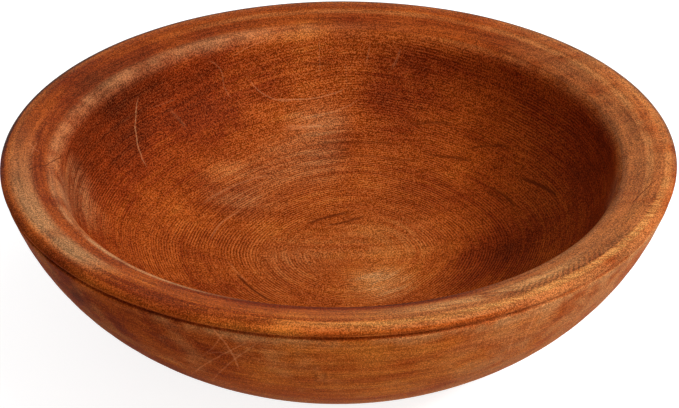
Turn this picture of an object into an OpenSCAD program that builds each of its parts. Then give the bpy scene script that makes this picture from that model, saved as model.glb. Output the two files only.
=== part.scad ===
// Dough bowl, turned from one piece of wood.
// The axis is Z and the base rests on the plane z = 0.

/* [Bowl] */
// Diameter across the widest line of the rolled rim
bowl_d = 305; // [240:1:400]
// Height from the table to the crest of the rim
bowl_h = 85; // [72:1:120]
// Diameter of the flat base
base_d = 160; // [110:1:180]
// Thickness of the wood under the middle of the floor
floor_t = 20; // [12:1:28]

/* [Rolled rim] */
// Height of the crown of the rim above the groove
roll_h = 5.1; // [4.4:0.1:9]
// Height of the widest line of the rim above the groove
roll_widest_h = 2.7; // [2:0.1:3.6]
// Width of the rounded outer edge, from the widest line in to the crown
edge_w = 4.7; // [3:0.1:8]
// Width of the crown, from the rounded edge in to the ridge
crown_w = 6.8; // [4:0.1:12]
// Fall of the crown from the rounded edge to the ridge
crown_fall = 0.6; // [0.1:0.1:1.5]
// Width of the sloping band, from the ridge in to the lip
slope_w = 9.8; // [6:0.1:14]
// Fall of the sloping band from the ridge to the lip
slope_fall = 2.5; // [1:0.1:4]
// Width of the rounded lip over the inner wall
lip_w = 6.2; // [4:0.1:9]
// Height of the rounded lip, from the sloping band down to the inner wall
lip_h = 8; // [5:0.1:12]

/* [Groove under the rim] */
// Depth of the turned groove
groove_depth = 1.1; // [0.6:0.1:2.4]
// Width of the groove at its mouth
groove_w = 1.3; // [0.8:0.1:3]
// How far the wall stands back from the widest line, just under the groove
shoulder_setback = 1.4; // [0.7:0.1:3.5]
// Height of the rounded shoulder under the groove
shoulder_h = 3; // [1.5:0.1:6]
// How far the shoulder swells out past the mouth of the groove
shoulder_swell = 0.5; // [0.2:0.1:1.2]

/* [Outer wall] */
// Lean of the wall from upright where it leaves the shoulder, in degrees
wall_lean = 18; // [8:1:26]
// Rise of the wall from level where it meets the base, in degrees
base_rise = 26; // [18:1:40]
// Fullness of the wall under the shoulder, as a share of the wall's height
wall_full_share = 0.5; // [0.35:0.01:0.6]
// Fullness of the wall over the base, as a share of the wall's reach
base_full_share = 0.5; // [0.35:0.01:0.6]
// Height of the eased edge of the base
base_edge_h = 1.2; // [0.5:0.1:2.5]

/* [Inside] */
// Lean of the inner wall from upright at the foot of the lip, in degrees
inner_lean = 10; // [4:1:20]
// Fullness of the inner wall, as a share of the inside's depth
inner_wall_share = 0.8; // [0.6:0.01:0.9]
// Flatness of the floor, as a share of the radius inside the lip
floor_flat_share = 0.62; // [0.45:0.01:0.7]

/* [Hidden] */

wood = [0.56, 0.27, 0.12];
round_steps = 96;
wall_steps = 16;
floor_steps = 20;
roll_steps = 8;
edge_steps = 4;
round_share = 0.55;

// Radii and heights of the main turned lines
rim_r = bowl_d / 2;
base_r = base_d / 2;
groove_z = bowl_h - roll_h;
widest_z = groove_z + roll_widest_h;
crown_r = rim_r - edge_w;
ridge_r = crown_r - crown_w;
lip_top_r = ridge_r - slope_w;
lip_r = lip_top_r - lip_w;
ridge_z = bowl_h - crown_fall;
lip_top_z = ridge_z - slope_fall;
lip_z = lip_top_z - lip_h;
mouth_r = rim_r - shoulder_setback;
shoulder_z = groove_z - groove_w / 2 - shoulder_h;
wall_run = mouth_r - base_r;
wall_rise = shoulder_z - base_edge_h;
inside_h = lip_z - floor_t;

// One point of a cubic curve with two end points and two handles
function curve_point(a, b, c, d, t) =
    pow(1 - t, 3) * a + 3 * pow(1 - t, 2) * t * b + 3 * (1 - t) * t * t * c + pow(t, 3) * d;

// The points of a cubic curve after its first one
function curve(a, b, c, d, steps) =
    [for (i = [1:steps]) curve_point(a, b, c, d, i / steps)];

// A rounded corner from one point to another, drawn towards the corner between them
function rounded(from, corner, to, share, steps) =
    curve(from, from + share * (corner - from), to + share * (corner - to), to, steps);

// A direction in the profile, leaning from straight down towards the axis
function down(lean) = [-sin(lean), -cos(lean)];

// Where the sloping band and the inner wall would meet if the lip were sharp
slope_share = slope_fall / slope_w;
lean_share = tan(inner_lean);
lip_corner_r = (lip_r + lean_share * (lip_h - slope_share * lip_top_r)) / (1 - slope_share * lean_share);
lip_corner = [lip_corner_r, lip_top_z - slope_share * (lip_top_r - lip_corner_r)];

// The main turned points, from the base outwards and over the rim to the floor
base_rim = [base_r - base_edge_h, 0];
base_edge = [base_r, base_edge_h];
shoulder_foot = [mouth_r - shoulder_h * tan(wall_lean) / 2, shoulder_z];
shoulder_top = [mouth_r, groove_z - groove_w / 2];
groove_bottom = [mouth_r - groove_depth, groove_z];
roll_foot = [mouth_r, groove_z + groove_w / 2];
roll_widest = [rim_r, widest_z];
crown_edge = [crown_r, bowl_h];
ridge = [ridge_r, ridge_z];
lip_top = [lip_top_r, lip_top_z];
lip_foot = [lip_r, lip_z];
floor_middle = [0, floor_t];

eased_edge = rounded(base_rim, [base_r, 0], base_edge, round_share, edge_steps);

outer_wall = curve(base_edge,
                   base_edge + base_full_share * wall_run * [cos(base_rise), sin(base_rise)],
                   shoulder_foot + wall_full_share * wall_rise * down(wall_lean),
                   shoulder_foot, wall_steps);

shoulder = curve(shoulder_foot,
                 shoulder_foot - shoulder_h / 2 * down(wall_lean) + [shoulder_swell, 0],
                 shoulder_top + [shoulder_swell, 0], shoulder_top, edge_steps);

roll_under = curve(roll_foot, roll_foot + [(rim_r - mouth_r) / 2, 0],
                   roll_widest - [0, (roll_widest_h - groove_w / 2) / 2],
                   roll_widest, edge_steps);

roll_edge = rounded(roll_widest, [rim_r, bowl_h], crown_edge, round_share, roll_steps);

crown = curve(crown_edge, crown_edge - [crown_w / 3, 0],
              ridge + slope_share * crown_w / 3 * [1, slope_share] + [crown_w / 4, 0],
              ridge, edge_steps);

lip = rounded(lip_top, lip_corner, lip_foot, round_share, roll_steps);

inner_wall = curve(lip_foot, lip_foot + inner_wall_share * inside_h * down(inner_lean),
                   [floor_flat_share * lip_r, floor_t], floor_middle, floor_steps);

profile = concat([[0, 0], base_rim], eased_edge, outer_wall, shoulder,
                 [groove_bottom, roll_foot], roll_under, roll_edge, crown, [lip_top], lip,
                 inner_wall);

// The whole bowl: the turned profile spun about its axis
module bowl() {
    color(wood)
        rotate_extrude($fn = round_steps)
            polygon(profile);
}

bowl();
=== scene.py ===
"""A turned wooden dough bowl on a pale floor."""

import math

import bpy
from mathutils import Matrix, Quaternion, Vector


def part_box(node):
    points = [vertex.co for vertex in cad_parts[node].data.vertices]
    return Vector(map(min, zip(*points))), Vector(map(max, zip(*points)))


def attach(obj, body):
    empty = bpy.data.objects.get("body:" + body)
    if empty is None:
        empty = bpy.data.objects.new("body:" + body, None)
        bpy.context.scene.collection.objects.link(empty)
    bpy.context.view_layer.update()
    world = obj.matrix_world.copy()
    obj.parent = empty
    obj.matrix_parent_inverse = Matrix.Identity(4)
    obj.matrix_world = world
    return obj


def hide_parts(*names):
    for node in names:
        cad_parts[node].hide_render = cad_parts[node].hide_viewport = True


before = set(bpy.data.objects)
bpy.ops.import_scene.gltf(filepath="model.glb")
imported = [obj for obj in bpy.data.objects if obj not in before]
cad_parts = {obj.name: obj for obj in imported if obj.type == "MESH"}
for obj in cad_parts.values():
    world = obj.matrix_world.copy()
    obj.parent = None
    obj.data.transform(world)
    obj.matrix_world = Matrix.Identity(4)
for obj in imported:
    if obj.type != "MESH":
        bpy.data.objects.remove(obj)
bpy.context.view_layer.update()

# Sizes of the bowl, in metres
_, BOX_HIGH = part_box("bowl")
RIM_R = BOX_HIGH.x
BOWL_H = BOX_HIGH.z
BASE_R = 0.080
FLOOR_T = 0.020
ROLL_H = 0.0051
ROLL_WIDEST_H = 0.0027
EDGE_W = 0.0047
CROWN_W = 0.0068
CROWN_FALL = 0.0006
SLOPE_W = 0.0098
SLOPE_FALL = 0.0025
LIP_W = 0.0062
LIP_H = 0.0080
GROOVE_DEPTH = 0.0011
GROOVE_W = 0.0013
SHOULDER_SETBACK = 0.0014
SHOULDER_H = 0.0030
SHOULDER_SWELL = 0.0005
BASE_EDGE_H = 0.0012
WALL_LEAN = math.radians(18)
BASE_RISE = math.radians(26)
INNER_LEAN = math.radians(10)
WALL_FULL = 0.50
BASE_FULL = 0.50
INNER_WALL_FULL = 0.80
FLOOR_FLAT = 0.62
ROUND = 0.55

GROOVE_Z = BOWL_H - ROLL_H
LIP_R = RIM_R - EDGE_W - CROWN_W - SLOPE_W - LIP_W
LIP_Z = BOWL_H - CROWN_FALL - SLOPE_FALL - LIP_H

# How finely the turned form is cut: faces around it, and rows of faces in each curve
AROUND = 376
BASE_ROWS = 16
BASE_EDGE_ROWS = 4
WALL_ROWS = 60
SHOULDER_ROWS = 8
GROOVE_ROWS = 2
ROLL_ROWS = 5
RIM_EDGE_ROWS = 12
CROWN_ROWS = 8
SLOPE_ROWS = 10
LIP_ROWS = 14
INSIDE_ROWS = 110
MERGE_REACH = 0.000005

# The turning tool's ripple and the wood's slight unevenness
RIPPLE_DEPTH = 0.00004
RIPPLE_PITCH = 0.0062
UNEVEN_DEPTH = 0.00022
UNEVEN_SIZE = 0.045
UNEVEN_SEED = 3.0


# Sockets that take part in Python expressions
class Value:
    """A node's output that adds Math nodes when it is used in an expression."""

    def __init__(self, net, socket):
        self.net = net
        self.socket = socket

    def maths(self, operation, *others, clamp=False):
        """One Math node on this value and the others."""
        settings = {"operation": operation, "use_clamp": clamp}
        return self.net.node("ShaderNodeMath", settings, dict(enumerate((self,) + others)))

    def after(self, operation, first):
        """One Math node on a number and this value, in that order."""
        return self.net.node("ShaderNodeMath", {"operation": operation}, {0: first, 1: self})

    def __add__(self, other):
        return self.maths("ADD", other)

    __radd__ = __add__

    def __mul__(self, other):
        return self.maths("MULTIPLY", other)

    __rmul__ = __mul__

    def __sub__(self, other):
        return self.maths("SUBTRACT", other)

    def __rsub__(self, other):
        return self.after("SUBTRACT", other)

    def __truediv__(self, other):
        return self.maths("DIVIDE", other)

    def __rtruediv__(self, other):
        return self.after("DIVIDE", other)

    def __pow__(self, other):
        return self.maths("POWER", other)

    def __abs__(self):
        return self.maths("ABSOLUTE")

    def clamped(self):
        """This value held between 0 and 1."""
        return self.maths("ADD", 0.0, clamp=True)


class Net:
    """A node tree that is filled by one method."""

    def __init__(self, tree):
        self.tree = tree

    def node(self, kind, settings=None, sockets=None, out=0):
        """Adds a node, sets it, fills its sockets and returns one of its outputs."""
        made = self.tree.nodes.new(kind)
        for name, setting in (settings or {}).items():
            if name == "stops":
                self.stops(made.color_ramp, setting)
            else:
                setattr(made, name, setting)
        for key, content in (sockets or {}).items():
            self.fill(made.inputs[key], content)
        return Value(self, made.outputs[out])

    def stops(self, ramp, stops):
        """Gives a colour ramp its stops."""
        while len(ramp.elements) < len(stops):
            ramp.elements.new(0.5)
        for element, (place, colour) in zip(ramp.elements, stops):
            element.position = place
            element.color = (*colour, 1.0)

    def fill(self, socket, content):
        """Links a value to a socket, or sets the socket's own number."""
        if isinstance(content, Value):
            self.tree.links.new(content.socket, socket)
        else:
            socket.default_value = content

    def vector(self, x, y, z):
        """Three numbers as one vector."""
        return self.node("ShaderNodeCombineXYZ", None, {0: x, 1: y, 2: z})

    def parts(self, vector):
        """The three numbers of a vector."""
        split = self.tree.nodes.new("ShaderNodeSeparateXYZ")
        self.fill(split.inputs[0], vector)
        return [Value(self, socket) for socket in split.outputs]

    def vectors(self, operation, first, second, out="Vector"):
        """One Vector Math node on two vectors."""
        settings = {"operation": operation}
        return self.node("ShaderNodeVectorMath", settings, {0: first, 1: second}, out)

    def scaled(self, vector, share):
        """A vector times a number."""
        sockets = {0: vector, "Scale": share}
        return self.node("ShaderNodeVectorMath", {"operation": "SCALE"}, sockets)

    def length(self, vector):
        """The length of a vector."""
        return self.node("ShaderNodeVectorMath", {"operation": "LENGTH"}, {0: vector}, "Value")

    def distance(self, place, other):
        """How far apart two places are."""
        return self.vectors("DISTANCE", place, other, "Value")

    def noise(self, place, scale, detail, rough, seed):
        """Noise from 0 to 1 at a place, shifted by a seed."""
        sockets = {"Vector": place, "Scale": scale, "Detail": detail, "Roughness": rough, "W": seed}
        return self.node("ShaderNodeTexNoise", {"noise_dimensions": "4D"}, sockets, "Fac")

    def between(self, value, low, high):
        """0 below low, 1 above high, with an eased step between."""
        # The eased step ends at 0 and 1 by itself. A clamp would keep too many values open at once.
        settings = {"interpolation_type": "SMOOTHSTEP", "clamp": False}
        sockets = {"Value": value, "From Min": low, "From Max": high}
        return self.node("ShaderNodeMapRange", settings, sockets)

    def near(self, value, middle, far, close):
        """1 where a value is close to a middle, 0 where it is far from it."""
        return self.between(abs(value - middle), far, close)

    def tint(self, colour, mask, share, other):
        """Mixes another colour into a colour where a mask says."""
        mixed = self.tree.nodes.new("ShaderNodeMix")
        mixed.data_type = "RGBA"
        self.fill(mixed.inputs[0], mask * share)
        self.fill(mixed.inputs[6], colour)
        self.fill(mixed.inputs[7], (*other, 1.0))
        return Value(self, mixed.outputs[2])


# The bowl's turned form
CURVE_ENDS = ("Start", "First Handle", "Second Handle", "End")


def add_input(tree, name, kind, value=None):
    """Adds one named input to a node group."""
    socket = tree.interface.new_socket(name=name, in_out="INPUT", socket_type="NodeSocket" + kind)
    if value is not None:
        socket.default_value = value


def start_group(tree, result):
    """Adds a group's one output and gives back its net and its named inputs."""
    tree.interface.new_socket(name=result, in_out="OUTPUT", socket_type="NodeSocketGeometry")
    net = Net(tree)
    given = tree.nodes.new("NodeGroupInput")
    return net, {socket.name: Value(net, socket) for socket in given.outputs if socket.name}


def section_group():
    """A node group that turns one cubic curve about the Z axis into a band of faces."""
    tree = bpy.data.node_groups.new("turned section", "GeometryNodeTree")
    for name in CURVE_ENDS:
        add_input(tree, name, "Vector")
    add_input(tree, "Rows", "Int", 8)
    add_input(tree, "Around", "Int", 32)
    net, given = start_group(tree, "Band")
    cells = {"Size X": 1.0, "Size Y": 1.0}
    cells["Vertices X"] = given["Rows"] + 1
    cells["Vertices Y"] = given["Around"] + 1
    grid = net.node("GeometryNodeMeshGrid", None, cells, "Mesh")
    across, along, _ = net.parts(net.node("GeometryNodeInputPosition"))
    t = across + 0.5
    back = 1 - t
    shares = (back ** 3, 3 * back * back * t, 3 * back * t * t, t ** 3)
    ends = [net.parts(given[name]) for name in CURVE_ENDS]
    radius = sum(share * end[0] for share, end in zip(shares, ends))
    height = sum(share * end[2] for share, end in zip(shares, ends))
    turn = (along + 0.5) * math.tau
    place = net.vector(radius * turn.maths("COSINE"), radius * turn.maths("SINE"), height)
    band = net.node("GeometryNodeSetPosition", None, {"Geometry": grid, "Position": place})
    result = tree.nodes.new("NodeGroupOutput")
    net.fill(result.inputs["Band"], band)
    return tree


def straight(a, b, rows):
    """A straight line as a cubic curve."""
    return (a, a.lerp(b, 1 / 3), a.lerp(b, 2 / 3), b, rows)


def rounded(a, corner, b, rows):
    """A rounded corner as a cubic curve, drawn towards the corner between its ends."""
    return (a, a.lerp(corner, ROUND), b.lerp(corner, ROUND), b, rows)


def outline_sections():
    """The cubic curves of the outline, from the middle of the base to the middle of the floor."""
    base_rim = Vector((BASE_R - BASE_EDGE_H, 0.0))
    base_edge = Vector((BASE_R, BASE_EDGE_H))
    mouth_r = RIM_R - SHOULDER_SETBACK
    shoulder_z = GROOVE_Z - GROOVE_W / 2 - SHOULDER_H
    shoulder_foot = Vector((mouth_r - SHOULDER_H * math.tan(WALL_LEAN) / 2, shoulder_z))
    shoulder_top = Vector((mouth_r, GROOVE_Z - GROOVE_W / 2))
    groove_bottom = Vector((mouth_r - GROOVE_DEPTH, GROOVE_Z))
    roll_foot = Vector((mouth_r, GROOVE_Z + GROOVE_W / 2))
    widest = Vector((RIM_R, GROOVE_Z + ROLL_WIDEST_H))
    crown_edge = Vector((RIM_R - EDGE_W, BOWL_H))
    ridge = Vector((crown_edge.x - CROWN_W, BOWL_H - CROWN_FALL))
    lip_top = Vector((ridge.x - SLOPE_W, ridge.y - SLOPE_FALL))
    lip_foot = Vector((LIP_R, LIP_Z))
    floor_middle = Vector((0.0, FLOOR_T))
    up = Vector((0.0, 1.0))
    out = Vector((1.0, 0.0))
    wall_down = Vector((-math.sin(WALL_LEAN), -math.cos(WALL_LEAN)))
    inner_down = Vector((-math.sin(INNER_LEAN), -math.cos(INNER_LEAN)))
    base_up = Vector((math.cos(BASE_RISE), math.sin(BASE_RISE)))
    slope = Vector((SLOPE_W, SLOPE_FALL)).normalized()
    slope_share = SLOPE_FALL / SLOPE_W
    lean = math.tan(INNER_LEAN)
    corner_r = (LIP_R + lean * (LIP_H - slope_share * lip_top.x)) / (1 - slope_share * lean)
    lip_corner = Vector((corner_r, lip_top.y - slope_share * (lip_top.x - corner_r)))
    edge_corner = Vector((RIM_R, BOWL_H))
    wall_run = mouth_r - BASE_R
    wall_rise = shoulder_z - BASE_EDGE_H
    inside_h = LIP_Z - FLOOR_T
    return [
        straight(Vector((0.0, 0.0)), base_rim, BASE_ROWS),
        rounded(base_rim, Vector((BASE_R, 0.0)), base_edge, BASE_EDGE_ROWS),
        (base_edge, base_edge + base_up * BASE_FULL * wall_run,
         shoulder_foot + wall_down * WALL_FULL * wall_rise, shoulder_foot, WALL_ROWS),
        (shoulder_foot, shoulder_foot - wall_down * SHOULDER_H / 2 + out * SHOULDER_SWELL,
         shoulder_top + out * SHOULDER_SWELL, shoulder_top, SHOULDER_ROWS),
        straight(shoulder_top, groove_bottom, GROOVE_ROWS),
        straight(groove_bottom, roll_foot, GROOVE_ROWS),
        (roll_foot, roll_foot + out * SHOULDER_SETBACK / 2,
         widest - up * (ROLL_WIDEST_H - GROOVE_W / 2) / 2, widest, ROLL_ROWS),
        rounded(widest, edge_corner, crown_edge, RIM_EDGE_ROWS),
        (crown_edge, crown_edge - out * CROWN_W / 3,
         ridge + slope * CROWN_W / 3, ridge, CROWN_ROWS),
        (ridge, ridge - slope * SLOPE_W / 3,
         lip_top + slope * SLOPE_W / 3, lip_top, SLOPE_ROWS),
        rounded(lip_top, lip_corner, lip_foot, LIP_ROWS),
        (lip_foot, lip_foot + inner_down * INNER_WALL_FULL * inside_h,
         Vector((FLOOR_FLAT * LIP_R, FLOOR_T)), floor_middle, INSIDE_ROWS),
    ]


def turned_sections(net, around):
    """All curves of the outline turned about the axis and joined to one skin."""
    section = section_group()
    join = net.tree.nodes.new("GeometryNodeJoinGeometry")
    for *points, rows in outline_sections():
        sockets = {name: (point.x, 0.0, point.y) for name, point in zip(CURVE_ENDS, points)}
        sockets["Rows"] = rows
        sockets["Around"] = around
        band = net.node("GeometryNodeGroup", {"node_tree": section}, sockets)
        net.tree.links.new(band.socket, join.inputs[0])
    joined = {"Geometry": Value(net, join.outputs[0]), "Distance": MERGE_REACH}
    return net.node("GeometryNodeMergeByDistance", None, joined)


def bowl_tree():
    """Geometry Nodes that turn the outline, close it and mark it with the turning tool."""
    tree = bpy.data.node_groups.new("turned bowl", "GeometryNodeTree")
    add_input(tree, "Around", "Int", AROUND)
    add_input(tree, "Ripple Depth", "Float", RIPPLE_DEPTH)
    add_input(tree, "Ripple Pitch", "Float", RIPPLE_PITCH)
    add_input(tree, "Uneven Depth", "Float", UNEVEN_DEPTH)
    add_input(tree, "Uneven Size", "Float", UNEVEN_SIZE)
    add_input(tree, "Seed", "Float", UNEVEN_SEED)
    add_input(tree, "Wood", "Material")
    net, given = start_group(tree, "Bowl")
    merged = turned_sections(net, given["Around"])
    place = net.node("GeometryNodeInputPosition")
    normal = net.node("GeometryNodeInputNormal")
    size = given["Uneven Size"]
    slow = net.noise(place, 1 / size, 1.0, 0.4, given["Seed"]) - 0.5
    reach = net.length(place)
    wobble = net.noise(place, 0.6 / size, 2.0, 0.5, given["Seed"] + 4.0) * 9.0
    ripple = (reach * math.tau / given["Ripple Pitch"] + wobble).maths("SINE")
    _, _, height = net.parts(place)
    off_base = net.between(height, 0.0005, 0.004)
    depth = (slow * given["Uneven Depth"] + ripple * given["Ripple Depth"]) * off_base
    moved = {"Geometry": merged, "Offset": net.scaled(normal, depth)}
    marked = net.node("GeometryNodeSetPosition", None, moved)
    smooth = net.node("GeometryNodeSetShadeSmooth", None, {"Geometry": marked})
    real = net.node("GeometryNodeRealizeInstances", None, {"Geometry": smooth})
    dressed = {"Geometry": real, "Material": given["Wood"]}
    done = net.node("GeometryNodeSetMaterial", None, dressed)
    result = tree.nodes.new("NodeGroupOutput")
    net.fill(result.inputs["Bowl"], done)
    return tree


def make_bowl(wood):
    """The bowl as one plain mesh."""
    blank = bpy.data.objects.new("bowl_blank", bpy.data.meshes.new("bowl_blank"))
    bpy.context.scene.collection.objects.link(blank)
    modifier = blank.modifiers.new("turning", "NODES")
    tree = bowl_tree()
    modifier.node_group = tree
    for item in tree.interface.items_tree:
        if item.in_out == "INPUT" and item.name == "Wood":
            modifier[item.identifier] = wood
    bpy.context.view_layer.update()
    graph = bpy.context.evaluated_depsgraph_get()
    mesh = bpy.data.meshes.new_from_object(blank.evaluated_get(graph))
    bpy.data.objects.remove(blank)
    mesh.name = "turned_bowl"
    piece = bpy.data.objects.new("turned_bowl", mesh)
    bpy.context.scene.collection.objects.link(piece)
    return piece


# Materials
def new_material(name):
    """An empty material with its shader and the net to fill it."""
    material = bpy.data.materials.new(name)
    material.use_nodes = True
    shader = material.node_tree.nodes["Principled BSDF"]
    return material, shader, Net(material.node_tree)


# Marks in the wood: the side that they are seen from, half width in mm, tone,
# and where each starts, passes and ends, in mm
MARKS = [
    ("side", 0.32, 0.55, (-95.9, 78.8, 70.1), (-97.1, 68.2, 55.5), (-91.5, 56.7, 42.1)),
    ("front", 0.32, 0.22, (-63.5, 107.7, 73.8), (-58.5, 109.3, 69.3), (-56.5, 108.6, 63.9)),
    ("front", 0.30, 0.22, (-56.6, 108.9, 65.0), (-55.7, 106.8, 59.2), (-52.9, 105.5, 54.4)),
    ("front", 0.32, 0.30, (-44.7, 113.4, 62.4), (-34.6, 111.0, 51.7), (-20.9, 112.6, 49.3)),
    ("front", 0.33, 0.30, (-23.7, 112.2, 49.5), (-8.4, 114.4, 49.6), (4.8, 117.1, 53.1)),
    ("front", 0.25, 0.40, (-29.9, 111.3, 50.3), (-23.3, 112.3, 49.5), (-16.6, 113.2, 49.2)),
    ("front", 0.32, 0.22, (-51.8, 113.4, 72.6), (-43.4, 117.9, 76.1), (-34.0, 121.9, 77.9)),
    ("flat", 0.35, 0.25, (-20.6, 106.6, 42.9), (-4.0, 109.1, 43.4), (11.2, 113.7, 48.9)),
    ("flat", 1.37, 0.22, (-26.5, 101.2, 39.7), (-16.4, 102.7, 39.2), (-6.3, 104.2, 39.5)),
    ("flat", 0.27, 0.45, (-19.6, 102.2, 39.3), (-13.7, 103.0, 39.1), (-7.7, 103.6, 39.1)),
    ("front", 0.31, 0.22, (-9.1, 125.5, 76.4), (-9.0, 123.1, 67.1), (-8.7, 119.7, 58.2)),
    ("front", 0.38, 0.12, (3.9, 122.8, 65.5), (4.1, 120.7, 59.9), (4.3, 118.0, 54.6)),
    ("front", 0.49, 0.22, (16.1, 123.9, 73.7), (15.1, 122.9, 68.7), (14.3, 121.5, 63.8)),
    ("front", 0.68, 0.20, (31.1, 120.9, 73.4), (29.3, 120.0, 67.5), (26.2, 119.0, 62.2)),
    ("front", 0.77, 0.09, (-82.2, 87.5, 58.2), (-77.9, 87.4, 52.8), (-74.0, 86.0, 47.8)),
    ("front", 0.27, 0.16, (-90.2, 81.4, 61.5), (-84.6, 87.1, 61.2), (-78.7, 92.1, 60.6)),
    ("flat", 0.71, 0.20, (-66.1, 45.2, 28.1), (-50.9, 63.2, 28.4), (-33.2, 74.1, 28.4)),
    ("flat", 0.59, 0.22, (-60.5, 19.9, 24.3), (-55.8, 34.5, 24.6), (-48.0, 44.7, 24.6)),
    ("flat", 0.55, 0.16, (-51.1, 2.9, 22.5), (-47.2, -6.3, 22.1), (-42.3, -13.7, 21.8)),
    ("flat", 0.41, -0.42, (-48.0, -5.9, 22.2), (-40.0, -20.3, 21.8), (-30.5, -30.9, 21.7)),
    ("flat", 0.50, -0.34, (-15.5, 38.4, 21.5), (-5.3, 44.2, 21.8), (5.1, 48.1, 22.2)),
    ("flat", 0.46, -0.34, (-6.9, 36.9, 21.2), (3.3, 40.3, 21.4), (13.3, 45.0, 22.0)),
    ("flat", 0.38, -0.34, (72.0, 54.8, 31.8), (79.2, 45.5, 32.2), (83.7, 33.1, 31.6)),
    ("flat", 0.34, -0.22, (70.0, 52.9, 30.7), (75.1, 47.1, 31.0), (79.4, 39.8, 31.0)),
    ("flat", 0.38, -0.36, (87.1, 52.5, 37.7), (95.9, 41.7, 39.6), (103.3, 27.2, 41.4)),
    ("flat", 0.35, -0.24, (33.8, 100.8, 41.0), (46.0, 98.7, 43.2), (58.1, 93.9, 44.7)),
    ("flat", 0.32, -0.28, (63.5, 80.7, 38.4), (73.0, 78.0, 41.4), (82.4, 72.3, 43.8)),
    ("flat", 0.36, -0.28, (43.2, 83.6, 33.4), (54.5, 79.4, 34.5), (65.6, 73.2, 35.6)),
    ("flat", 0.39, -0.20, (19.7, 85.9, 30.8), (29.9, 83.4, 31.0), (40.1, 80.4, 31.5)),
    ("flat", 0.36, -0.20, (-18.6, 92.1, 33.3), (6.0, 95.8, 34.3), (30.6, 91.8, 34.8)),
    ("flat", 0.39, -0.16, (-9.8, 85.0, 29.9), (7.4, 87.5, 30.7), (24.6, 85.4, 31.1)),
    ("front", 0.35, -0.22, (-17.4, 121.5, 65.2), (-10.0, 122.0, 64.0), (-2.6, 122.2, 63.6)),
    ("front", 0.37, -0.50, (1.7, 114.9, 49.8), (1.9, 114.8, 49.7), (2.2, 114.8, 49.7)),
    ("flat", 0.25, -0.55, (-138.9, -19.6, 84.2), (-135.3, -13.2, 83.1), (-131.3, -10.0, 82.0)),
    ("flat", 0.18, -0.55, (-132.0, -10.7, 82.2), (-128.6, -3.1, 80.4), (-126.0, 7.5, 77.3)),
    ("flat", 0.25, -0.45, (142.1, -30.6, 84.9), (134.2, -41.3, 84.2), (126.7, -52.5, 83.4)),
    ("flat", 0.23, -0.35, (132.0, -60.1, 84.8), (135.3, -61.5, 85.0), (139.0, -59.9, 84.1)),
    ("flat", 0.31, 0.40, (-141.1, 7.7, 84.4), (-138.6, 3.6, 83.8), (-135.9, 0.7, 83.1)),
    ("flat", 0.27, 0.30, (-140.8, -0.1, 84.3), (-138.4, 3.4, 83.7), (-137.6, 9.2, 83.6)),
    ("flat", 0.27, 0.30, (-138.4, 3.3, 83.7), (-138.5, -0.0, 83.8), (-138.7, -3.3, 83.8)),
    ("front", 0.52, 0.26, (-50.7, -142.3, 78.0), (-45.2, -140.6, 67.8), (-42.2, -133.3, 52.2)),
    ("front", 0.37, 0.26, (-44.9, -140.6, 67.5), (-54.0, -131.2, 55.7), (-63.8, -109.6, 35.0)),
    ("front", 0.37, 0.22, (-39.5, -142.2, 67.5), (-47.2, -133.2, 54.8), (-55.0, -110.5, 31.4)),
    ("front", 0.36, 0.20, (-55.7, -133.0, 60.1), (-47.9, -138.5, 65.2), (-40.5, -140.5, 64.5)),
    ("front", 0.36, 0.18, (-47.8, -143.4, 77.7), (-52.0, -138.3, 67.9), (-57.9, -131.1, 58.4)),
    ("front", 0.39, 0.22, (81.4, -126.2, 74.7), (78.9, -124.4, 67.1), (77.4, -119.9, 57.2)),
    ("front", 0.35, 0.20, (72.1, -127.3, 64.6), (71.2, -124.0, 57.7), (70.5, -118.7, 49.4)),
    ("front", 0.29, 0.14, (84.5, -124.0, 74.2), (82.9, -123.0, 69.3), (82.2, -120.0, 62.8)),
    ("front", 0.32, -0.16, (-11.4, -142.4, 57.6), (-9.8, -140.6, 54.1), (-11.1, -138.1, 50.2)),
    ("front", 0.32, -0.16, (-6.8, -143.2, 58.6), (-6.0, -140.9, 54.3), (-7.3, -138.5, 50.4)),
    ("front", 0.53, 0.24, (6.4, -125.1, 33.3), (8.1, -125.1, 33.5), (9.8, -125.1, 33.5)),
]


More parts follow.
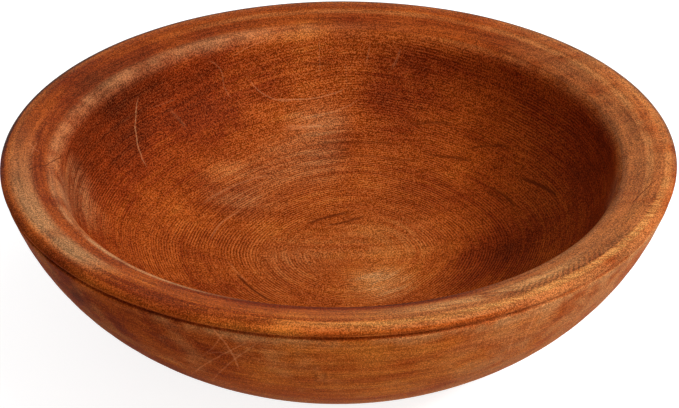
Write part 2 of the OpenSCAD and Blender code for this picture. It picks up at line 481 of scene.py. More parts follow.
# Places where the wood is paler or darker, partly its own tone and partly painted light and shade,
# such as a painted shadow on the right inner wall and painted highlights on the lip: tone, radius
# in mm and middle in mm
PAINTED_LIGHT_AND_TONE = [
    (0.18, 22, (24, -7, 20)),
    (0.10, 28, (38, 22, 22)),
    (0.06, 20, (15, 45, 22)),
    (0.12, 18, (-11, 111, 46)),
    (0.16, 15, (-26, 124, 78)),
    (0.06, 16, (-19, 71, 26)),
    (0.08, 14, (64, 65, 32)),
    (-0.13, 17, (31, 115, 57)),
    (-0.11, 17, (-65, 94, 49)),
    (-0.10, 24, (-112, 51, 66)),
    (-0.06, 20, (-101, 41, 43)),
    (-0.08, 20, (-100, 74, 70)),
    (-0.07, 15, (-90, 87, 76)),
    (-0.15, 18, (-123, 72, 85)),
    (-0.08, 14, (-142, 27, 85)),
    (0.10, 12, (-127, 28, 82)),
    (0.06, 10, (-125, 1, 76)),
    (0.12, 16, (-120, -71, 84)),
    (0.12, 18, (-95, -114, 85)),
    (-0.14, 24, (-112, -98, 64)),
    (-0.02, 24, (-66, -128, 60)),
    (0.03, 26, (-47, -118, 38)),
    (0.16, 12, (37, -146, 74)),
    (0.10, 14, (-16, -150, 78)),
    (0.10, 14, (10, -151, 78)),
    (0.08, 20, (60, -131, 60)),
    (0.10, 26, (4, -132, 42)),
    (-0.09, 22, (120, 28, 66)),
    (-0.08, 16, (106, 64, 68)),
    (-0.08, 18, (75, -3, 27)),
    (0.06, 16, (51, 122, 82)),
    (0.05, 18, (137, -3, 83)),
    (-0.10, 20, (72, 0, 27)),
    (-0.09, 18, (93, 18, 35)),
    (-0.10, 16, (51, -24, 24)),
    (0.04, 14, (-62, -118, 82)),
    (-0.09, 20, (-80, 60, 44)),
    (0.10, 12, (-108, -106, 84)),
    (0.10, 10, (-55, -142, 80)),
    (-0.12, 13, (-119, -89, 69)),
    (0.08, 14, (-22, -146, 84)),
    (0.12, 10, (-22, -151, 82)),
    (0.14, 12, (-33, -136, 51)),
    (-0.20, 22, (115, -93, 66)),
    (0.12, 14, (140, 33, 85)),
    (0.10, 14, (129, 58, 85)),
    (0.10, 10, (-79, -111, 83)),
    (0.08, 10, (-57, -127, 84)),
    (-0.12, 18, (-120, 29, 68)),
    (-0.10, 22, (-91, 83, 65)),
    (-0.08, 20, (-70, 98, 58)),
    (-0.06, 16, (-67, 92, 46)),
    (-0.07, 12, (-8, 121, 64)),
    (-0.06, 14, (52, -6, 22)),
    (0.10, 18, (6, 72, 26)),
    (0.12, 16, (12, -16, 20)),
    (0.12, 22, (79, 73, 42)),
    (0.08, 18, (76, 94, 62)),
    (0.06, 16, (55, 100, 49)),
    (-0.12, 14, (-65, 106, 70)),
    (-0.13, 14, (-34, 118, 64)),
    (-0.13, 14, (22, 117, 57)),
    (-0.08, 14, (55, 109, 63)),
    (0.15, 14, (106, 63, 67)),
    (0.10, 14, (50, 80, 33)),
    (-0.11, 14, (-4, 97, 35)),
    (-0.06, 14, (27, 101, 40)),
    (-0.10, 12, (-6, 82, 29)),
    (-0.13, 14, (-54, 52, 27)),
    (-0.10, 12, (-70, 16, 26)),
    (0.06, 16, (13, 24, 21)),
    (-0.09, 10, (71, 7, 26)),
    (0.08, 10, (-46, -2, 22)),
    (0.09, 10, (-10, -4, 20)),
    (-0.12, 10, (38, 119, 75)),
    (-0.12, 9, (-60, 113, 80)),
    (0.13, 10, (-13, 127, 80)),
    (-0.08, 12, (126, 23, 79)),
    (0.12, 14, (12, -150, 76)),
    (-0.14, 16, (-64, -131, 64)),
    (-0.08, 12, (-35, -141, 62)),
    (0.14, 9, (-38, -140, 85)),
    (-0.08, 10, (-87, -125, 82)),
    (-0.10, 10, (30, -30, 22)),
    (-0.08, 10, (72, -127, 85)),
    (0.07, 14, (42, -134, 54)),
    (0.10, 12, (25, -126, 37)),
    (0.10, 10, (97, 78, 72)),
    (-0.06, 12, (-72, 69, 36)),
]


# Painted sheen spots inside, streaked like brushed wood: share, radius in mm and middle in mm
SHEEN_SPOTS = [
    (0.75, 13, (19, -14, 20)),
    (0.26, 18, (-44, 62, 32)),
    (0.28, 18, (-18, 84, 32)),
    (0.40, 13, (-10, 104, 40)),
    (0.34, 16, (-117, 4, 60)),
    (0.12, 22, (22, 22, 21)),
    (0.16, 18, (-20, 8, 20)),
]


# Noises in the wood: scale, detail, roughness and seed
SWAY = (9.0, 2.0, 0.5, 2.0)
BROAD_FIBRE = (120.0, 3.0, 0.6, 1.0)
FINE_FIBRE = (640.0, 3.0, 0.65, 5.0)
PORE = (1300.0, 2.0, 0.6, 8.5)
GRIT = (2100.0, 1.0, 0.5, 61.0)
SPECK = (1450.0, 2.0, 0.8, 9.0)
CLOUD = (17.0, 3.0, 0.55, 12.0)
PATCH = (55.0, 3.0, 0.6, 18.0)
FINE_TURNED = (680.0, 3.0, 0.7, 41.0)
BROAD_TURNED = (300.0, 3.0, 0.6, 43.0)
EDGE_TURNED = (560.0, 3.0, 0.62, 45.0)
RING_FORCE = (38.0, 2.0, 0.5, 21.0)
MARK_SWAY = (220.0, 2.0, 0.6, 31.0)
MARK_RISE = (260.0, 2.0, 0.6, 33.0)
MARK_WEAR = (700.0, 2.0, 0.6, 35.0)
DOTS = (1100.0, 1.0, 0.5, 51.0)

# How far the fibres sway, how long they are and how the turned rings lie
SWAY_ACROSS = 0.012
SWAY_UP = 0.006
FIBRE_STRETCH = 0.05
PORE_STRETCH = 0.14
RING_X = 0.006
RING_Y = 0.012
RING_SQUARE = 1.7
RING_PITCH = 0.00155

# Bands of the rim: middle radius and half width, in metres
CREST = (0.1486, 0.0024)
VALLEY = (0.1452, 0.0017)
STROKED = (0.1440, 0.0044)
CROWN = (0.1435, 0.0070)
CROWN_LINE = (0.1405, 0.0024)
CROWN_SIDE = (0.1402, 0.0045)
SLOPE = (0.1365, 0.0045)
FRONT_LIP = (0.1325, 0.0028)
LIP_LINE = (0.1308, 0.0015)
BAND_CORE = 0.35

# How spots and marks fade, as shares of their own size
SPOT_CORE = 0.2
SHADE_REACH = 1.7
SHEEN_SPOT_REACH = 1.6
PALE_SPREAD = 1.25
CRACK_SPREAD = 1.7
DARK_SPREAD = 2.9
CRACK_HALF = 0.3
MARK_CORE = 0.2
MARK_END = 1.02
MARK_OVER = 0.0004
MARK_FADE = 0.60
LEAST_BEND = 1e-7
MARK_SIDES = {"side": (1, 2), "front": (0, 2), "flat": (0, 1)}

# Colours of the wood, from dark to pale, of what lies on it or wears it, and of painted highlights,
# sheen and reflection on it
WOOD_TONES = [
    (0.0, (0.070, 0.0070, 0.0012)),
    (0.28, (0.195, 0.0215, 0.0022)),
    (0.52, (0.350, 0.0580, 0.0045)),
    (0.76, (0.520, 0.1350, 0.0160)),
    (1.0, (0.740, 0.2700, 0.0700)),
]
# Dust, with painted sheen, on the outer wall
DUST_AND_SHEEN = (0.46, 0.178, 0.060)
# Wear on the rim, with painted light on its right side
WORN_AND_LIT_RIM = (0.52, 0.220, 0.072)
CREST_HIGHLIGHT = (0.64, 0.310, 0.088)
CROWN_HIGHLIGHT = (0.64, 0.310, 0.110)
CROWN_REFLECTION = (0.50, 0.255, 0.105)
LIP_HIGHLIGHT = (0.64, 0.310, 0.130)
SHEEN = (0.58, 0.290, 0.130)
SHEEN_SPOT_COLOUR = (0.60, 0.310, 0.125)
PALE_GRAIN_AND_GLINT = (0.66, 0.265, 0.088)
DEEP_MARK = (0.105, 0.0150, 0.0020)
PALE_MARK = (0.70, 0.340, 0.150)

# How dark and how pale the small marks can get, and how strongly they show
DARKEST = -0.37
PALEST = 0.27
SMALL_STRENGTH = 1.9

# Heights of the fine relief, in metres, and how strongly it shows
SPECK_H = 0.00010
FIBRE_H = 0.00006
RING_H = 0.00003
PORE_H = 0.00008
MARK_H = 0.0002
RELIEF_STRENGTH = 0.6

# Shine of the oiled wood and of the thin coat on its rim
SPECULAR = 0.012
COAT_SHARE = 0.03
COAT_ROUGH = 0.42


def in_metres(point):
    """A point in mm, in metres."""
    return tuple(number / 1000 for number in point)


def spot(net, place, radius, middle, reach):
    """1 in the middle of a round spot and 0 past its edge. Its sizes are in mm."""
    away = net.distance(place, in_metres(middle))
    return net.between(away, radius / 1000 * reach, radius / 1000 * SPOT_CORE)


def light_and_tone_spots(net, place):
    """The sum of all broad pale and dark places: the wood's own tone with painted light and shade.
    """
    total = 0.0
    for tone, radius, middle in PAINTED_LIGHT_AND_TONE:
        total = spot(net, place, radius, middle, SHADE_REACH) * tone + total
    return total


def circle_through(a, b, c):
    """Centre and radius of the circle through three points of a plane."""
    twice = 2 * (a.x * (b.y - c.y) + b.x * (c.y - a.y) + c.x * (a.y - b.y))
    if abs(twice) < LEAST_BEND:
        twice = LEAST_BEND
    lengths = (a.length_squared, b.length_squared, c.length_squared)
    u = sum(n * d for n, d in zip(lengths, (b.y - c.y, c.y - a.y, a.y - b.y)))
    v = sum(n * d for n, d in zip(lengths, (c.x - b.x, a.x - c.x, b.x - a.x)))
    centre = Vector((u / twice, v / twice))
    return centre, (a - centre).length


def mark_width(half, tone):
    """Half the width that a mark is drawn with, in metres."""
    if tone > 0:
        return half / 1000 * PALE_SPREAD
    return half / 1000 * (CRACK_SPREAD if half < CRACK_HALF else DARK_SPREAD)


def mark_tones(net, place, wander):
    """The sums of the pale and of the dark marks, each an arc that fades at its ends."""
    moved = net.parts(net.vectors("ADD", place, wander))
    seen = {side: net.vector(moved[a], moved[b], 0.0) for side, (a, b) in MARK_SIDES.items()}
    pale = dark = 0.0
    for side, half, tone, *points in MARKS:
        start, middle, end = (Vector(in_metres(point)) for point in points)
        a, b = MARK_SIDES[side]
        drawn = [Vector((point[a], point[b])) for point in (start, middle, end)]
        centre, radius = circle_through(*drawn)
        width = mark_width(half, tone)
        off = abs(net.distance(seen[side], (*centre, 0.0)) - radius)
        run = max((start - middle).length, (end - middle).length)
        along = net.distance(place, tuple(middle))
        ends = net.between(along, run * MARK_END + MARK_OVER, run * MARK_FADE)
        line = net.between(off, width, width * MARK_CORE) * ends
        if tone > 0:
            pale = line * tone + pale
        else:
            dark = line * -tone + dark
    return pale, dark


class Places:
    """Masks from 0 to 1 that tell the parts of the bowl and its sides apart."""

    def __init__(self, net):
        self.net = net
        self.place = net.node("ShaderNodeTexCoord", None, None, "Object")
        self.x, self.y, self.z = net.parts(self.place)
        self.reach = net.length(net.vector(self.x, self.y, 0.0))
        self.turn = self.y.maths("ARCTAN2", self.x)
        self.find_parts()
        self.find_rim()
        self.find_groove()

    def find_parts(self):
        """The rim, the inside, the outer wall and their sides."""
        net, x, y, z = self.net, self.x, self.y, self.z
        self.on_rim = net.between(z, GROOVE_Z - 0.0002, GROOVE_Z + 0.0006)
        wall_limit = (self.reach / 0.15) ** 4 * 0.070 + 0.010
        within_lip = net.between(self.reach, LIP_R + 0.004, LIP_R)
        self.inside = net.between(z - wall_limit, -0.0002, 0.0002) * within_lip
        self.outer = (1 - self.on_rim) * (1 - self.inside)
        self.left = net.between(x, 0.02, -0.11)
        self.front = net.between(y, 0.0, -0.09)
        self.front_mid = net.near(x, 0.0, 0.085, 0.045) * self.front
        self.front_left = net.between(x, 0.0, -0.04) * net.between(y, -0.085, -0.11)
        self.low = net.between(z, 0.034, 0.010)
        # The side walls inside run across the fibres: end grain, which is also darkened as painted
        # shade
        along_grain = net.between(abs(x / (self.reach + 0.001)), 0.55, 0.95)
        self.end_grain_and_shade = along_grain * net.between(z, 0.030, 0.060) * self.inside

    def band(self, middle, half):
        """A band of the rim round one radius."""
        return self.net.near(self.reach, middle, half, half * BAND_CORE) * self.on_rim

    def find_rim(self):
        """The bands of the rim, from the outer edge in to the lip."""
        net, x, y, z, reach = self.net, self.x, self.y, self.z, self.reach
        self.front_right = net.near(self.turn, -0.9, 0.95, 0.25) * self.on_rim
        self.crest = self.band(*CREST)
        self.valley = self.band(*VALLEY)
        self.crown = self.band(*CROWN)
        back_crown = self.band(*CROWN_LINE) * (1 - self.front)
        self.crown_line = back_crown * net.between(x, -0.10, -0.04)
        self.slope = self.band(*SLOPE)
        self.front_lip = self.band(*FRONT_LIP) * net.between(y, -0.08, -0.125)
        self.lip_line = self.band(*LIP_LINE)
        self.lip = net.near(reach, 0.1290, 0.0046, 0.0006) * net.between(z, 0.0735, 0.0790)
        # The side of the outer rounding, which is given painted light and shade
        outermost = net.between(reach, 0.1485, 0.1500)
        self.edge = net.between(z, 0.0842, 0.0832) * outermost * self.on_rim
        # The far outline of the rim, which is darkened as painted shade
        far_reach = reach + net.between(y, 0.0, 0.11) * 0.0015
        back = self.on_rim * net.between(y, -0.04, 0.02)
        self.far_edge = net.between(far_reach, 0.1500, 0.1512) * back

    def find_groove(self):
        """Painted shade in the groove and the painted sheen on the strip under it."""
        net = self.net
        in_groove = net.between(self.reach, RIM_R - 0.008, RIM_R - 0.006)
        self.groove_shade = net.near(self.z, GROOVE_Z, 0.0014, 0.0005) * in_groove
        close_by = net.near(self.z, GROOVE_Z, 0.0080, 0.0015) * (1 - self.groove_shade)
        self.sheen_under_groove = close_by * self.front * net.between(self.x, -0.10, -0.06)


class Grain:
    """Noises that follow the wood's fibres, and rings left by the turning tool."""

    def __init__(self, net, at):
        self.find_fibres(net, at)
        self.find_turning(net, at)

    def find_fibres(self, net, at):
        """Fibres, pores, specks and broad clouds."""
        sway = net.noise(at.place, *SWAY) - 0.5
        across = at.y + sway * SWAY_ACROSS
        upward = at.z + sway * SWAY_UP
        fibre = net.vector(at.x * FIBRE_STRETCH, across, upward)
        self.broad = net.noise(fibre, *BROAD_FIBRE)
        self.fine = net.noise(fibre, *FINE_FIBRE)
        self.pore = net.noise(net.vector(at.x * PORE_STRETCH, across, upward), *PORE)
        self.grit = net.noise(at.place, *GRIT)
        self.speck = net.noise(at.place, *SPECK)
        self.cloud = net.noise(at.place, *CLOUD)
        self.patch = net.noise(at.place, *PATCH)

    def find_turning(self, net, at):
        """Rings and streaks round a middle that lies a little off the axis."""
        ring_x = (abs(at.x - RING_X) + 0.0001) ** RING_SQUARE
        ring_y = (abs(at.y - RING_Y) + 0.0001) ** RING_SQUARE
        ring_reach = (ring_x + ring_y) ** (1 / RING_SQUARE)
        sweep = ring_reach + at.z * 0.8 + (self.patch - 0.5) * 0.0012
        round_x = (at.x - RING_X) / (ring_reach + 0.004)
        round_y = (at.y - RING_Y) / (ring_reach + 0.004)
        short = net.vector(sweep, round_x * 0.014, round_y * 0.014)
        self.fine_turned = net.noise(short, *FINE_TURNED)
        long = net.vector(sweep, round_x * 0.0045, round_y * 0.0045)
        self.broad_turned = net.noise(long, *BROAD_TURNED)
        edge = net.vector(at.reach + at.z * 1.3, round_x * 0.010, round_y * 0.010)
        self.edge_turned = net.noise(edge, *EDGE_TURNED)
        self.turned_share = net.between(ring_reach, 0.006, 0.040) * at.inside
        wave = (sweep * (math.tau / RING_PITCH) + self.cloud * 14.0).maths("SINE")
        force = net.between(net.noise(at.place, *RING_FORCE), 0.38, 0.62) * 0.85 + 0.15
        rings = (net.between(wave, -0.6, 0.9) - 0.45) * force * self.turned_share
        worn_back = net.between(at.y, 0.03, 0.09) * net.between(at.x, 0.05, -0.02)
        self.rings = rings * (1 - worn_back * 0.55)


class Marks:
    """Scratches, tool marks and the short strokes across the rim."""

    def __init__(self, net, at, grain):
        sway = net.noise(at.place, *MARK_SWAY) - 0.5
        rise = net.noise(at.place, *MARK_RISE) - 0.5
        wander = net.vector(sway * 0.0012, rise * 0.0012, sway * -0.0010)
        pale, self.dark = mark_tones(net, at.place, wander)
        self.pale = pale * (net.between(net.noise(at.place, *MARK_WEAR), 0.30, 0.60) * 0.6 + 0.4)
        wave = at.turn * 285.0 + at.reach * 2370.0 + (grain.patch - 0.5) * 14.0
        zone = net.near(at.turn, -0.87, 0.42, 0.12) * at.band(*STROKED)
        broken = net.between(grain.patch * 0.5 + grain.fine * 0.5, 0.38, 0.56)
        self.strokes = net.between(wave.maths("SINE"), -0.2, 0.8) * zone * broken


def broad_tone(net, at, grain, marks):
    """The wood's tone, from dark at 0 to pale at 1, with painted light and shade laid into it."""
    shift = net.vector((grain.patch - 0.5) * 0.030, (grain.cloud - 0.5) * 0.030, 0.0)
    light_and_tone = light_and_tone_spots(net, net.vectors("ADD", at.place, shift))
    # Painted shade inside the bowl: a little everywhere, more on the left wall, most on the right
    # and back-right walls
    far_right = net.between(at.x, 0.0, 0.05) * net.between(at.y, 0.02, 0.06)
    inside_shade = 0.015 + at.left * 0.02 + net.between(at.x, 0.03, 0.08) * 0.06 + far_right * 0.06
    # Outer wall: paler towards the bottom, painted shade on the left side, and broad fibre tone
    outer_tone_and_shade = 0.07 + at.low * 0.10 - at.left * 0.12 + (grain.broad - 0.5) * 0.24
    # Painted shade on the inner lip, strongest at the front middle
    lip_shade = 0.02 + at.front_mid * 0.24 + at.front_mid * net.between(at.x, -0.01, 0.04) * 0.14
    broad_force = 0.50 - grain.turned_share * 0.26 - at.on_rim * 0.34
    return (
        0.475
        + (grain.cloud - 0.5) * (0.44 - at.on_rim * 0.20)
        + (grain.patch - 0.5) * 0.24
        + (grain.broad - 0.5) * broad_force
        + (grain.broad_turned - 0.5) * grain.turned_share * 0.50
        + (grain.edge_turned - 0.5) * (1 - at.inside) * 0.22
        # Broad spots of the wood's tone and of painted light and shade
        + light_and_tone
        # End grain on the side walls inside, darker also as painted shade, more on the left
        - at.end_grain_and_shade * (0.10 + at.left * 0.06)
        - at.inside * inside_shade
        + at.outer * outer_tone_and_shade
        # Rim: painted highlights on the crown, the crown line, the crest and the front right;
        # painted shade on the front-left crest, the slope at the back, the front lip, the front
        # valley, the outer rounding and the far edge
        - at.on_rim * 0.08
        + at.crown * 0.05
        + at.crown_line * 0.04
        + at.crest * (0.10 - at.front_left * 0.24)
        - at.lip * lip_shade
        + at.front_right * 0.10
        - at.slope * (1 - at.front) * 0.07
        - at.front_lip * 0.16
        - at.valley * at.front * 0.20
        + at.edge * (at.front_left * 0.12 - 0.03)
        - at.far_edge * 0.45
        - marks.strokes * 0.20
        # Painted shade in the groove, lighter on the right
        - at.groove_shade * (0.15 - net.between(at.x, 0.0, 0.06) * 0.10)
    )


def dust_and_sheen(net, at, grain, colour):
    """Dust and painted sheen on the outer wall: painted sheen under the groove and on the right
    side, paler low on the wall, and dusty clouds at the front.
    """
    clouds = net.between(grain.cloud * 0.5 + grain.patch * 0.5, 0.49, 0.60)
    low = at.low * at.front
    right = net.between(at.x, 0.02, 0.08)
    where = at.sheen_under_groove * 0.85 + low * 0.75 + right * 0.55 + at.front * (0.06 + clouds * 0.35)
    dust_and_sheen_mask = at.outer * where * net.between(grain.patch, 0.30, 0.62) + at.outer * low * 0.45
    return net.tint(colour, dust_and_sheen_mask, 0.8, DUST_AND_SHEEN)


def worn_and_lit_rim(net, at, grain, colour):
    """Wear and painted light along the rim, with painted highlights and a painted reflection."""
    right = net.between(at.x, 0.06, 0.13) * net.between(at.y, -0.06, 0.0)
    # The outer rounding, away from the front right, carries painted shade and gets no wear
    dark_edge = at.edge * (1 - net.near(at.turn, -0.70, 0.50, 0.20))
    # The front lip carries painted shade and gets no wear
    shaded_front_lip = net.between(at.reach, 0.1360, 0.1330) * at.front_mid
    bands = at.crest * (1 - at.front) * 0.15 + at.crown_line * 0.22
    # Wear over the rim, with painted light on the front right and the right side and painted
    # highlights on the back crest and the crown line
    worn_and_lit = 0.05 + at.front_right * 0.40 + right * 0.35 + bands
    worn_and_lit = worn_and_lit * at.on_rim * (1 - dark_edge * 0.9) * (1 - shaded_front_lip * 0.9)
    worn_and_lit = worn_and_lit * net.between(grain.patch * 0.6 + grain.broad * 0.4, 0.26, 0.56)
    colour = net.tint(colour, worn_and_lit, 1.0, WORN_AND_LIT_RIM)
    # Painted highlight on the crest, strongest at the front right
    crest_highlight = at.crest * (at.front_right * 0.8 + at.front * 0.2) * net.between(at.x, -0.05, 0.0)
    colour = net.tint(colour, crest_highlight * net.between(grain.fine, 0.35, 0.62), 0.60, CREST_HIGHLIGHT)
    # Painted highlight on the inner side of the crown at the front right
    pale = at.band(*CROWN_SIDE) * net.near(at.turn, -1.08, 0.46, 0.16)
    pale = pale * net.between(grain.fine * 0.6 + grain.patch * 0.4, 0.40, 0.60)
    colour = net.tint(colour, pale, 0.62, CROWN_HIGHLIGHT)
    # Painted reflection: a pale band on the crown at the front left
    crown_reflection = net.between(at.y, 0.040, -0.070) * net.between(at.y, -0.112, -0.090)
    crown_reflection = crown_reflection * net.between(at.x, -0.05, -0.09) * at.crown
    crown_reflection = crown_reflection * net.between(grain.cloud * 0.6 + grain.patch * 0.6, 0.34, 0.62)
    return net.tint(colour, crown_reflection, 0.70, CROWN_REFLECTION)


def painted_highlights_inside(net, at, grain, colour):
    """Painted highlights inside: the pale lip, the sheen on the inner wall and pale sheen spots."""
    # Painted highlight along the inner lip on the left half and a little at the front right, and a
    # thin painted highlight line at the front left
    sides = net.between(at.x, 0.05, -0.05) + net.between(at.x, 0.06, 0.10) * at.front * 0.5
    patches = net.between(grain.patch * 0.6 + grain.broad * 0.4, 0.38, 0.60) * 0.22 + 0.11
    lip_line = at.lip_line * net.between(at.x, -0.03, -0.07) * at.front
    lip_line = lip_line * net.between(grain.patch, 0.35, 0.60) * 0.45
    pale = at.lip * sides * patches * (1 - at.front_mid) + lip_line
    colour = net.tint(colour, pale, 1.0, LIP_HIGHLIGHT)
    # Painted sheen on the inner wall just under the lip, on the left and the right
    sheen = net.near(at.turn, -2.84, 0.34, 0.10) + net.near(at.turn, -0.36, 0.34, 0.12) * 0.6
    sheen = sheen * at.inside * net.between(at.z, 0.056, 0.070)
    sheen = sheen * net.between(grain.broad * 0.5 + grain.patch * 0.5, 0.34, 0.58)
    colour = net.tint(colour, sheen, 0.50, SHEEN)
    streaks = net.between(grain.broad_turned * 0.6 + grain.broad * 0.4, 0.44, 0.60) * 0.75 + 0.25
    for share, radius, middle in SHEEN_SPOTS:
        sheen_spot = spot(net, at.place, radius, middle, SHEEN_SPOT_REACH) * streaks
        colour = net.tint(colour, sheen_spot, share, SHEEN_SPOT_COLOUR)
    return colour


def small_marks(net, at, grain, marks, force):
    """How much the small marks darken or lighten the wood."""
    ring_force = net.between(at.z, 0.040, 0.024) * at.inside * 0.34 + 0.72
    small = (
        (grain.fine - 0.5) * (1.5 - grain.turned_share * 0.8 - at.on_rim * 0.7)
        + (grain.fine_turned - 0.5) * grain.turned_share * 1.3
        + (grain.edge_turned - 0.5) * (1 - at.inside) * 1.7
        + (grain.speck - 0.5) * (5.2 - at.on_rim * 1.2)
        + (grain.grit - 0.5) * (4.0 - at.on_rim * 0.8)
        + grain.rings * ring_force
        - net.between(grain.pore, 0.56, 0.68) * 0.24
        + net.between(grain.pore, 0.40, 0.28) * 0.30
    )
    return small * force + marks.pale - marks.strokes * 0.26


def pale_grain_and_glints(net, at, grain, small, tone):
    """Where the small marks also turn the wood pale, with painted glints on the pale specks."""
    dots = net.between(net.noise(at.place, *DOTS), 0.64, 0.72) * (at.inside * 0.7 + 0.3)
    # Pale specks of the wood, with painted glints where the speck noise is high
    glints = dots + net.between(grain.speck, 0.58, 0.70)
    right = net.between(at.x, 0.02, 0.08) * 0.60
    left = net.between(at.x, -0.03, -0.08) * 0.25
    back_right = net.between(at.x, 0.0, 0.07) * net.between(at.y, -0.02, 0.05)
    share = net.between(tone, 0.22, 0.60) * 0.60 + 0.40
    share = share * (1 - at.on_rim * (1 - at.front_right * 0.6) * 0.35)
    share = share * (1 - at.inside * (right + left))
    share = share * (1 - at.on_rim * back_right * 0.5)
    return (small * 0.8 + glints * (at.inside * 0.35 + 0.4)).clamped() * share


def wood_colour(net, at, grain, marks, force):
    """The colour of the wood with all that lies on it, and with painted light and shade."""
    tone = broad_tone(net, at, grain, marks)
    colour = net.node("ShaderNodeValToRGB", {"stops": WOOD_TONES}, {"Fac": tone}, "Color")
    colour = dust_and_sheen(net, at, grain, colour)
    colour = worn_and_lit_rim(net, at, grain, colour)
    colour = painted_highlights_inside(net, at, grain, colour)
    small = small_marks(net, at, grain, marks, force)
    held = small.maths("MINIMUM", PALEST).maths("MAXIMUM", DARKEST)
    colour = net.scaled(colour, (held * SMALL_STRENGTH).maths("EXPONENT"))
    colour = net.tint(colour, pale_grain_and_glints(net, at, grain, small, tone), 0.50, PALE_GRAIN_AND_GLINT)
    colour = net.tint(colour, (marks.dark * 2.5).clamped(), 0.85, DEEP_MARK)
    return net.tint(colour, (marks.pale * 1.2).clamped(), 0.60, PALE_MARK)


def wood_gloss(at, grain):
    """The roughness of the wood."""
    grit = (grain.speck - 0.5) * 0.30 + (grain.patch - 0.5) * 0.15
    return 0.40 + at.inside * 0.14 + grit + at.outer * 0.22 + at.groove_shade * 0.3 + at.edge * 0.3


def wood_relief(net, grain, marks):
    """The height of specks, fibres, rings, pores and marks, in metres."""
    return (
        (grain.speck - 0.5) * SPECK_H
        + (grain.fine - 0.5) * FIBRE_H
        + grain.rings * RING_H
        - net.between(grain.pore, 0.54, 0.66) * PORE_H
        - marks.dark * MARK_H
    )


def wood_material():
    """Oiled red-brown hardwood, turned with its fibres along X."""
    material, shader, net = new_material("oiled_wood")
    at = Places(net)
    grain = Grain(net, at)
    marks = Marks(net, at, grain)
    # Small marks are strong inside and faint on the smooth outer wall
    force = 1 - at.outer * 0.66 - at.on_rim * 0.36
    height = wood_relief(net, grain, marks) * force
    relief = {"Strength": RELIEF_STRENGTH, "Distance": 1.0, "Height": height}
    coat = at.on_rim * net.between(at.reach, 0.1496, 0.1478) * (1 - at.front * 0.7)
    net.fill(shader.inputs["Base Color"], wood_colour(net, at, grain, marks, force))
    net.fill(shader.inputs["Roughness"], wood_gloss(at, grain))
    net.fill(shader.inputs["Coat Weight"], coat * COAT_SHARE)
    net.fill(shader.inputs["Normal"], net.node("ShaderNodeBump", None, relief, "Normal"))
    shader.inputs["Specular IOR Level"].default_value = SPECULAR
    shader.inputs["Coat Roughness"].default_value = COAT_ROUGH
    return material


# The floor and the surroundings
FLOOR_GREY = (0.60, 0.60, 0.60, 1.0)
FLOOR_ROUGH = 0.9
FLOOR_HALF = 6.0
SHADOW_NEAR = 0.22
SHADOW_FAR = 0.80
NEAR_WHITE = 0.83
WORLD_STRENGTH = 0.33
SEEN_RAYS = ("Is Camera Ray", "Is Glossy Ray", "Is Transmission Ray")


def seen_plainly(net):
    """1 for rays that show a surface or the surroundings, and 0 for rays that only light."""
    path = net.tree.nodes.new("ShaderNodeLightPath")
    return sum(Value(net, path.outputs[name]) for name in SEEN_RAYS).clamped()


def floor_material():
    """Plain pale floor, white to the camera away from the shadow."""
    material, shader, net = new_material("pale_floor")
    shader.inputs["Base Color"].default_value = FLOOR_GREY
    shader.inputs["Roughness"].default_value = FLOOR_ROUGH
    place = net.node("ShaderNodeTexCoord", None, None, "Object")
    away = net.between(net.length(place), SHADOW_NEAR, SHADOW_FAR)
    bright = away * (1 - NEAR_WHITE) + NEAR_WHITE
    glow = {"Color": net.vector(bright, bright, bright)}
    white = net.node("ShaderNodeEmission", None, glow, "Emission")
    pale = net.node("ShaderNodeBsdfDiffuse", None, {"Color": FLOOR_GREY}, "BSDF")
    both = net.node("ShaderNodeAddShader", None, {0: white, 1: pale}, "Shader")
    shaders = {0: seen_plainly(net), 1: Value(net, shader.outputs["BSDF"]), 2: both}
    mixed = net.node("ShaderNodeMixShader", None, shaders, "Shader")
    net.fill(net.tree.nodes["Material Output"].inputs["Surface"], mixed)
    return material


def make_floor():
    """A wide pale floor under the bowl."""
    mesh = bpy.data.meshes.new("floor")
    signs = ((-1, -1), (1, -1), (1, 1), (-1, 1))
    corners = [(x * FLOOR_HALF, y * FLOOR_HALF, 0) for x, y in signs]
    mesh.from_pydata(corners, [], [(0, 1, 2, 3)])
    floor = bpy.data.objects.new("floor", mesh)
    bpy.context.scene.collection.objects.link(floor)
    floor.data.materials.append(floor_material())


def make_world():
    """Even white surroundings, plain white to the camera."""
    world = bpy.data.worlds.new("studio")
    bpy.context.scene.world = world
    world.use_nodes = True
    back = world.node_tree.nodes["Background"]
    net = Net(world.node_tree)
    strength = seen_plainly(net) * (1.0 - WORLD_STRENGTH) + WORLD_STRENGTH
    net.fill(back.inputs["Strength"], strength)
    back.inputs["Color"].default_value = (1.0, 1.0, 1.0, 1.0)


# Camera and lamps
PHOTO_W = 679
PHOTO_H = 408
CAMERA_RISE = math.radians(30.5)
CAMERA_ROLL = -0.0079
CAMERA_REACH = 8.0
FOCAL_PX = 2654.3
CENTRE_PX = (338.35, 214.4)
LOOK_Z = 0.0489
LAMP_LOOK_Z = 0.05
SENSOR = 36.0

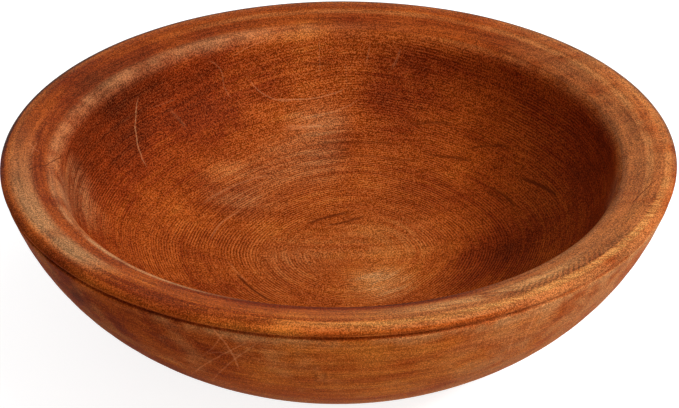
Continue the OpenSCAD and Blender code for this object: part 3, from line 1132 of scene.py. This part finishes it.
# Lamps: name, turn from the front and rise in degrees, reach and size in metres, power
LAMPS = [
    ("key", 68, 40, 1.6, 0.40, 19.0),
    ("top", 110, 80, 1.6, 0.6, 2.0),
    ("front", 15, 14, 1.8, 0.8, 4.5),
]


def make_camera():
    """The camera at the photograph's angle and framing."""
    data = bpy.data.cameras.new("camera")
    data.sensor_width = SENSOR
    data.lens = FOCAL_PX * SENSOR / PHOTO_W
    data.shift_x = (PHOTO_W / 2 - 0.5 - CENTRE_PX[0]) / PHOTO_W
    data.shift_y = (CENTRE_PX[1] - (PHOTO_H / 2 - 0.5)) / PHOTO_W
    camera = bpy.data.objects.new("camera", data)
    bpy.context.scene.collection.objects.link(camera)
    away = Vector((0.0, -math.cos(CAMERA_RISE), math.sin(CAMERA_RISE)))
    camera.location = Vector((0.0, 0.0, LOOK_Z)) + away * CAMERA_REACH * RIM_R
    camera.rotation_mode = "QUATERNION"
    roll = Quaternion(Vector((0.0, 0.0, 1.0)), CAMERA_ROLL)
    camera.rotation_quaternion = (-away).to_track_quat("-Z", "Y") @ roll
    bpy.context.scene.camera = camera


def lamp_place(turn, rise, reach):
    """A point round the bowl, by its turn from the front and its rise, in degrees."""
    turn = math.radians(turn)
    rise = math.radians(rise)
    across = Vector((math.sin(turn), -math.cos(turn), 0.0)) * math.cos(rise)
    return (across + Vector((0.0, 0.0, math.sin(rise)))) * reach


def make_lamp(name, place, size, power):
    """A soft square lamp aimed at the bowl."""
    data = bpy.data.lights.new(name, "AREA")
    data.size = size
    data.energy = power
    lamp = bpy.data.objects.new(name, data)
    bpy.context.scene.collection.objects.link(lamp)
    lamp.location = place
    lamp.rotation_mode = "QUATERNION"
    aim = Vector((0.0, 0.0, LAMP_LOOK_Z)) - lamp.location
    lamp.rotation_quaternion = aim.to_track_quat("-Z", "Y")


bpy.context.scene.view_settings.view_transform = "Standard"
make_camera()
make_world()
for name, turn, rise, reach, size, power in LAMPS:
    make_lamp(name, lamp_place(turn, rise, reach), size, power)
make_floor()
wood = wood_material()
bowl = make_bowl(wood)
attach(bowl, "root")
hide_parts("bowl")
